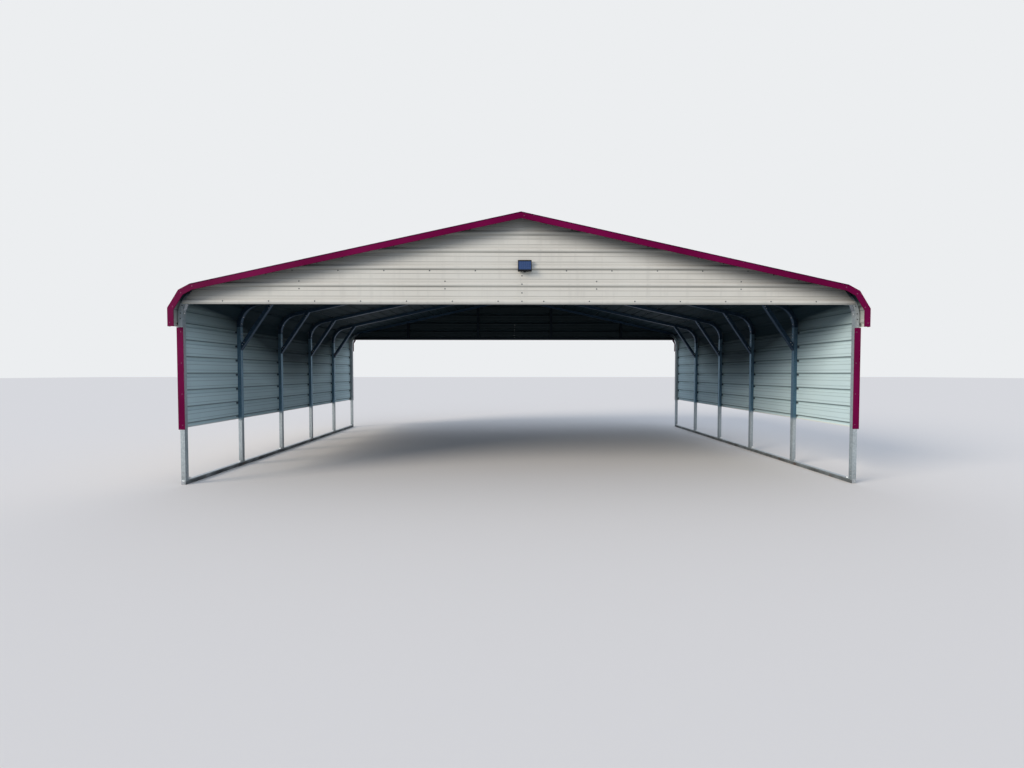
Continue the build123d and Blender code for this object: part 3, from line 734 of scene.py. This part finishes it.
# %% Finish of each CAD node
node_finishes = {
    "roof_sheet": roof_paint,
    "wall_": wall_paint,
    "gable_front": gable_paint,
    "gable_back": gable_paint,
    "rake_trim": trim_paint,
    "corner_trim": trim_paint,
    "base_rail": rail_tube,
    "left_legs": upright_tube,
    "right_legs": upright_tube,
    "gable_studs": stud_tube,
    "knee_braces": cross_tube,
    "bow_": cross_tube,
    "gable_header": header_tube,
    "header_clips": clip_steel,
    "light_housing": light_plastic,
    "light_panel": panel_cells,
    "light_sensor": lens_plastic,
}
for name, node in nodes.items():
    finish = next(paint for start, paint in node_finishes.items() if name.startswith(start))
    node.data.materials.clear()
    node.data.materials.append(finish)
print("finishes:", len(set(node_finishes.values())))

# %% [markdown]
# The sheets are held by self-drilling screws: an 8 mm hexagon on a washer flange, over a
# rubber seal 18 mm across. Hundreds are needed, so each is only three short cones, stacked
# on one another. The ground anchors below are built from the same kind of steps.

# %% A screw of stacked steps
screw_steps = (
    # sides, lower radius, upper radius and height in metres, finish (0 rubber, 1 steel)
    (12, 0.0090, 0.0084, 0.0012, 0),
    (12, 0.0070, 0.0058, 0.0010, 1),
    (6, 0.0047, 0.0045, 0.0034, 1),
)
screw_turn = math.radians(37)


def upright_on(normal):
    """The turn that stands a piece along a surface's normal."""
    return normal.to_track_quat("Z", "Y").to_matrix().to_4x4()


def stack_steps(mesh, place, steps):
    """Cones on one another, from place upwards."""
    level = 0.0
    for sides, lower, upper, height, finish in steps:
        middle = Matrix.Translation((0.0, 0.0, level + height / 2))
        step = bmesh.ops.create_cone(mesh, cap_ends=True, segments=sides, radius1=lower,
                                     radius2=upper, depth=height, matrix=place @ middle)
        for face in {face for vert in step["verts"] for face in vert.link_faces}:
            face.material_index = finish
        level += height


print(f"screw {sum(step[3] for step in screw_steps) * 1000:.1f} mm tall")

# %% [markdown]
# To seat a screw, a ray is cast at the CAD meshes from outside, and the screw stands where
# it strikes, along the surface's own normal. That works on a pan, a fold or a tube alike. A
# ray that misses leaves no screw, so a row may be drawn longer than the sheet is.

# %% Screws seated by a ray
def strike(names, start, direction):
    """Where a ray first meets the named CAD nodes, and the normal there."""
    hits = []
    for name in names:
        found, point, normal, _ = nodes[name].ray_cast(Vector(start), Vector(direction))
        if found:
            hits.append(((point - Vector(start)).length, point, normal))
    if not hits:
        return None
    _, point, normal = min(hits, key=lambda hit: hit[0])
    return point, normal


def finish_piece(name, mesh, materials):
    """Makes a bmesh a piece of the object that rides on the body."""
    data = bpy.data.meshes.new(name)
    mesh.to_mesh(data)
    mesh.free()
    for material in materials:
        data.materials.append(material)
    piece = bpy.data.objects.new(name, data)
    bpy.context.scene.collection.objects.link(piece)
    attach(piece, "root")


def screw_piece(name, names, rays, steel=screw_steel):
    """One piece with a screw for each ray that meets the named nodes."""
    mesh = bmesh.new()
    count = 0
    for start, direction in rays:
        struck = strike(names, start, direction)
        if struck:
            point, normal = struck
            turn = Matrix.Rotation(screw_turn * count, 4, "Z")
            stack_steps(mesh, Matrix.Translation(point) @ upright_on(normal) @ turn, screw_steps)
            count += 1
    finish_piece(name, mesh, (rubber, steel))
    print(name, count, "screws")


def names_of(start):
    """The CAD nodes whose names start so."""
    return [name for name in nodes if name.startswith(start)]


print("bows to screw to:", len(names_of("bow_")))

# %% [markdown]
# On a gable the screws follow what is behind the sheet: a row along the header, a pair at
# each stud where a rib passes, a row that stitches the lap, and a line up each bow.

# %% Gable screws
before_gable = 5.0  # where the rays start
stud_middles = (-2.960, -1.015, 1.015, 2.960)
row_spacing = 0.610
row_screws = 7  # to each side of the middle
bow_line_spacing = 0.340
bow_line_screws = 12
below_bow_top = 0.022
below_lap = 0.047
stud_pair = (0.040, -0.060)
seam_margin = 0.014
seam_heights = (0.0, 0.115, 0.228, 0.343)
ends = (("front", -1), ("back", 1))


def bow_top(x):
    return ridge - abs(x) * math.tan(slope)


def gable_rays(end):
    """Where the screws of one gable go, as rays from a plane before it."""
    places = []
    for k in range(-row_screws, row_screws):
        places.append(((k + 0.5) * row_spacing, gable_rib))
        places.append((k * row_spacing, gable_rib + 2 * rib_pitch - below_lap))
    for x in stud_middles:
        places += [(x, gable_rib + rib_pitch + offset) for offset in stud_pair]
    for k in range(-bow_line_screws, bow_line_screws + 1):
        x = k * bow_line_spacing
        places.append((x, bow_top(x) - below_bow_top))
    places += [(seam_margin, gable_rib + above) for above in seam_heights]
    return [((x, end * before_gable, z), (0.0, -end, 0.0)) for x, z in places]


for end_name, end in ends:
    screw_piece(f"gable_screws_{end_name}", names_of(f"gable_{end_name}"), gable_rays(end))

# %% [markdown]
# A side wall has a screw above each rib at every leg, from the bottom edge to the top. The
# roof has one beside each rib over every bow, and two round the eave where the bow bends.
# The last one goes through the skirt.

# %% Wall and roof screws
far_off = 6.0  # where rays start from a side or an end
far_above = 5.0
beside_rib = 0.047
under_skirt = 0.01
skirt_screw = -0.035
eave_screws = (28.0, 58.0)
sides = (("left", -1), ("right", 1))


def wall_rays(side):
    rays = []
    for y in frame_middles:
        z = wall_rib + beside_rib
        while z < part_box("roof_sheet_left_5")[0].z - under_skirt:
            rays.append(((side * far_off, y, z), (-side, 0.0, 0.0)))
            z += rib_pitch
    return rays


def roof_rays():
    rays = []
    on_slope = int((bend_middle_x / math.cos(slope)) / rib_pitch)
    for _, side in sides:
        for y in frame_middles:
            for k in range(1, on_slope + 1):
                x = side * (k * rib_pitch - beside_rib) * math.cos(slope)
                rays.append(((x, y, far_above), (0.0, 0.0, -1.0)))
            for lean in eave_screws:
                lean = math.radians(lean)
                out = Vector((side * math.sin(lean), 0.0, math.cos(lean)))
                rays.append((Vector((side * bend_middle_x, y, bend_middle_z)) + out, -out))
            rays.append(((side * far_off, y, bend_middle_z + skirt_screw), (-side, 0.0, 0.0)))
    return rays


for side_name, side in sides:
    screw_piece(f"wall_screws_{side_name}", names_of(f"wall_{side_name}"), wall_rays(side))
screw_piece("roof_screws", names_of("roof_sheet"), roof_rays())

# %% [markdown]
# The trim is screwed down through its top flange every second foot. Only the folds of the
# eave, the peak and the foot have a screw in the face too, where the lengths are lapped.
# The corner trims have theirs in the face. These heads were painted and have worn dull.

# %% Trim screws
down_face = 0.045
in_flange = 0.025
first_in_flange = 0.15
flange_screws = 7
peak_screw = 0.04
trim_over_bow = 0.022
trim_round_bend = 0.030
fold_screws = (18.0, 43.0, 74.0)
foot_screw = (0.010, -0.100)


def trim_rays(end):
    """Rays at the trim's face, from the peak round both eaves, and at its top flange."""
    trim_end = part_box("rake_trim_back_left")[1].y
    reach = bend_radius + trim_round_bend - down_face

    def at_face(x, z):
        return (x, end * far_off, z), (0.0, -end, 0.0)

    rays = [at_face(peak_screw, bow_top(peak_screw) + trim_over_bow - down_face)]
    for _, side in sides:
        for lean in fold_screws:
            lean = math.radians(lean)
            rays.append(at_face(side * (bend_middle_x + reach * math.sin(lean)),
                                bend_middle_z + reach * math.cos(lean)))
        rays.append(at_face(side * (half_width + foot_screw[0]), bend_middle_z + foot_screw[1]))
        for k in range(flange_screws):
            x = side * (first_in_flange + k * row_spacing)
            rays.append(((x, end * (trim_end - in_flange), far_above), (0.0, 0.0, -1.0)))
    return rays


corner_count = 4
corner_margin = 0.06
corner_in_face = 0.030


def corner_rays(end):
    low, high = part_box("corner_trim_front_right")
    x, lowest, highest = low.x + corner_in_face, low.z + corner_margin, high.z - corner_margin
    step = (highest - lowest) / (corner_count - 1)
    return [((side * x, end * far_off, lowest + step * k), (0.0, -end, 0.0))
            for _, side in sides for k in range(corner_count)]


for end_name, end in ends:
    screw_piece(f"rake_trim_screws_{end_name}", names_of("rake_trim"), trim_rays(end),
                trim_screw)
    screw_piece(f"corner_trim_screws_{end_name}", names_of("corner_trim"), corner_rays(end),
                trim_screw)

# %% [markdown]
# Where a leg slips over a nipple, two screws lock the joint on its inner side, and at the
# foot of the end frames two more on the outer face. Two screws on each bow hold the edge of
# the sheets, and on the end bows dull ones show in the gap beside the gable.

# %% Leg and bow screws
foot_joint = (0.105, 0.165)
top_joint = (bend_middle_z - 0.171, bend_middle_z - 0.124)
bow_joint = (bend_middle_z + 0.040, bend_middle_z + 0.150)
below_leg_top = 0.022
end_bow_screws = (6.0, 22.0)
from_beside = 0.3  # where rays start close to a bow or brace
leg_middle = half_width - tube / 2


def leg_rays():
    rays = []
    for _, side in sides:
        for y in frame_middles:
            rays += [((0.0, y, z), (side, 0.0, 0.0)) for z in foot_joint + top_joint]
        for z in foot_joint:
            rays += [((side * leg_middle, end * far_off, z), (0.0, -end, 0.0)) for end in (-1, 1)]
    return rays


def bow_rays():
    return [((side * (bend_middle_x - from_beside), y, z), (side, 0.0, 0.0))
            for _, side in sides for y in frame_middles for z in bow_joint]


def end_bow_rays(end):
    """The face of an end bow and the top of its legs, up from the foot of the bend."""
    reach = bend_radius - tube / 2
    rays = []
    for _, side in sides:
        rays.append(((side * leg_middle, end * far_off, leg_top - below_leg_top),
                     (0.0, -end, 0.0)))
        for lean in end_bow_screws:
            lean = math.radians(lean)
            x = side * (bend_middle_x + reach * math.cos(lean))
            z = bend_middle_z + reach * math.sin(lean)
            rays.append(((x, end * far_off, z), (0.0, -end, 0.0)))
    return rays


leg_names = ["left_legs", "right_legs"]
screw_piece("leg_screws", leg_names, leg_rays(), bright_screw)
screw_piece("bow_screws", names_of("bow_"), bow_rays(), bright_screw)
for end_name, end in ends:
    screw_piece(f"end_bow_screws_{end_name}", names_of("bow_") + leg_names, end_bow_rays(end))

# %% [markdown]
# A knee brace has two screws near each end, through its front side. Its own box gives the
# line that it follows, from its foot on the leg up to its head on the bow.

# %% Brace screws
from_brace_end = (0.045, 0.090)


def brace_rays(side):
    low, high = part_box("knee_braces_right")
    foot = Vector((high.x, 0.0, low.z + tube))
    head = Vector((low.x + tube / 2, 0.0, high.z - tube / 2))
    along = (head - foot).normalized()
    rays = []
    for y in frame_middles[1:-1]:
        for start, step in ((foot, along), (head, -along)):
            for distance in from_brace_end:
                point = start + step * distance
                rays.append(((side * point.x, y - from_beside, point.z), (0.0, 1.0, 0.0)))
    return rays


for side_name, side in sides:
    screw_piece(f"brace_screws_{side_name}", [f"knee_braces_{side_name}"], brace_rays(side),
                bright_screw)

# %% [markdown]
# The rails are pinned to the ground by anchors driven through them beside each leg: a rod
# whose blunt end stands out of a hexagon nut on a round washer, 30 mm tall in all. They are
# plated and shine beside the dull rail. Each rail's open end is closed by a pressed steel
# cap with a smaller bolt of the same kind through its middle.

# %% Ground anchors and rail caps
anchor_steps = (
    # sides, lower radius, upper radius and height in metres, finish (steel alone)
    (20, 0.0230, 0.0230, 0.0030, 0),
    (6, 0.0165, 0.0160, 0.0160, 0),
    (12, 0.0080, 0.0060, 0.0110, 0),
)
anchor_behind_leg = 0.085
anchor_before_leg = -0.056
cap_thickness = 0.002
cap_clearance = 0.001
cap_rim = 0.006
cap_raise = 0.0015
cap_bolt_size = 0.5  # of an anchor
rail_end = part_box("base_rail_left")[1].y


def add_cap(mesh, x, end):
    """A pressed cap that stands flat on the rail's end, with its middle raised."""
    middle = Vector((x, end * (rail_end + cap_thickness / 2), tube / 2))
    size = Matrix.Diagonal((tube - cap_clearance, cap_thickness, tube - cap_clearance, 1.0))
    plate = bmesh.ops.create_cube(mesh, size=1.0, matrix=Matrix.Translation(middle) @ size)
    faces = {face for vert in plate["verts"] for face in vert.link_faces}
    outer = [face for face in faces if face.normal.y * end > 0.9]
    bmesh.ops.inset_region(mesh, faces=outer, thickness=cap_rim, depth=cap_raise)


anchor_mesh = bmesh.new()
cap_mesh = bmesh.new()
anchor_count = 0
for _, side in sides:
    for i, y in enumerate(frame_middles):
        beside = anchor_behind_leg if i == 0 else anchor_before_leg
        place = Matrix.Translation((side * leg_middle, y + beside, tube))
        turn = Matrix.Rotation(anchor_count * screw_turn, 4, "Z")
        stack_steps(anchor_mesh, place @ turn, anchor_steps)
        anchor_count += 1
    for _, end in ends:
        add_cap(cap_mesh, side * leg_middle, end)
        on_cap = end * (rail_end + cap_thickness + cap_raise)
        place = Matrix.Translation((side * leg_middle, on_cap, tube / 2))
        small = upright_on(Vector((0.0, end, 0.0))) @ Matrix.Scale(cap_bolt_size, 4)
        stack_steps(anchor_mesh, place @ small, anchor_steps)
finish_piece("ground_anchors", anchor_mesh, (bright_screw,))
finish_piece("rail_end_caps", cap_mesh, (clip_steel,))
print("anchors:", anchor_count)
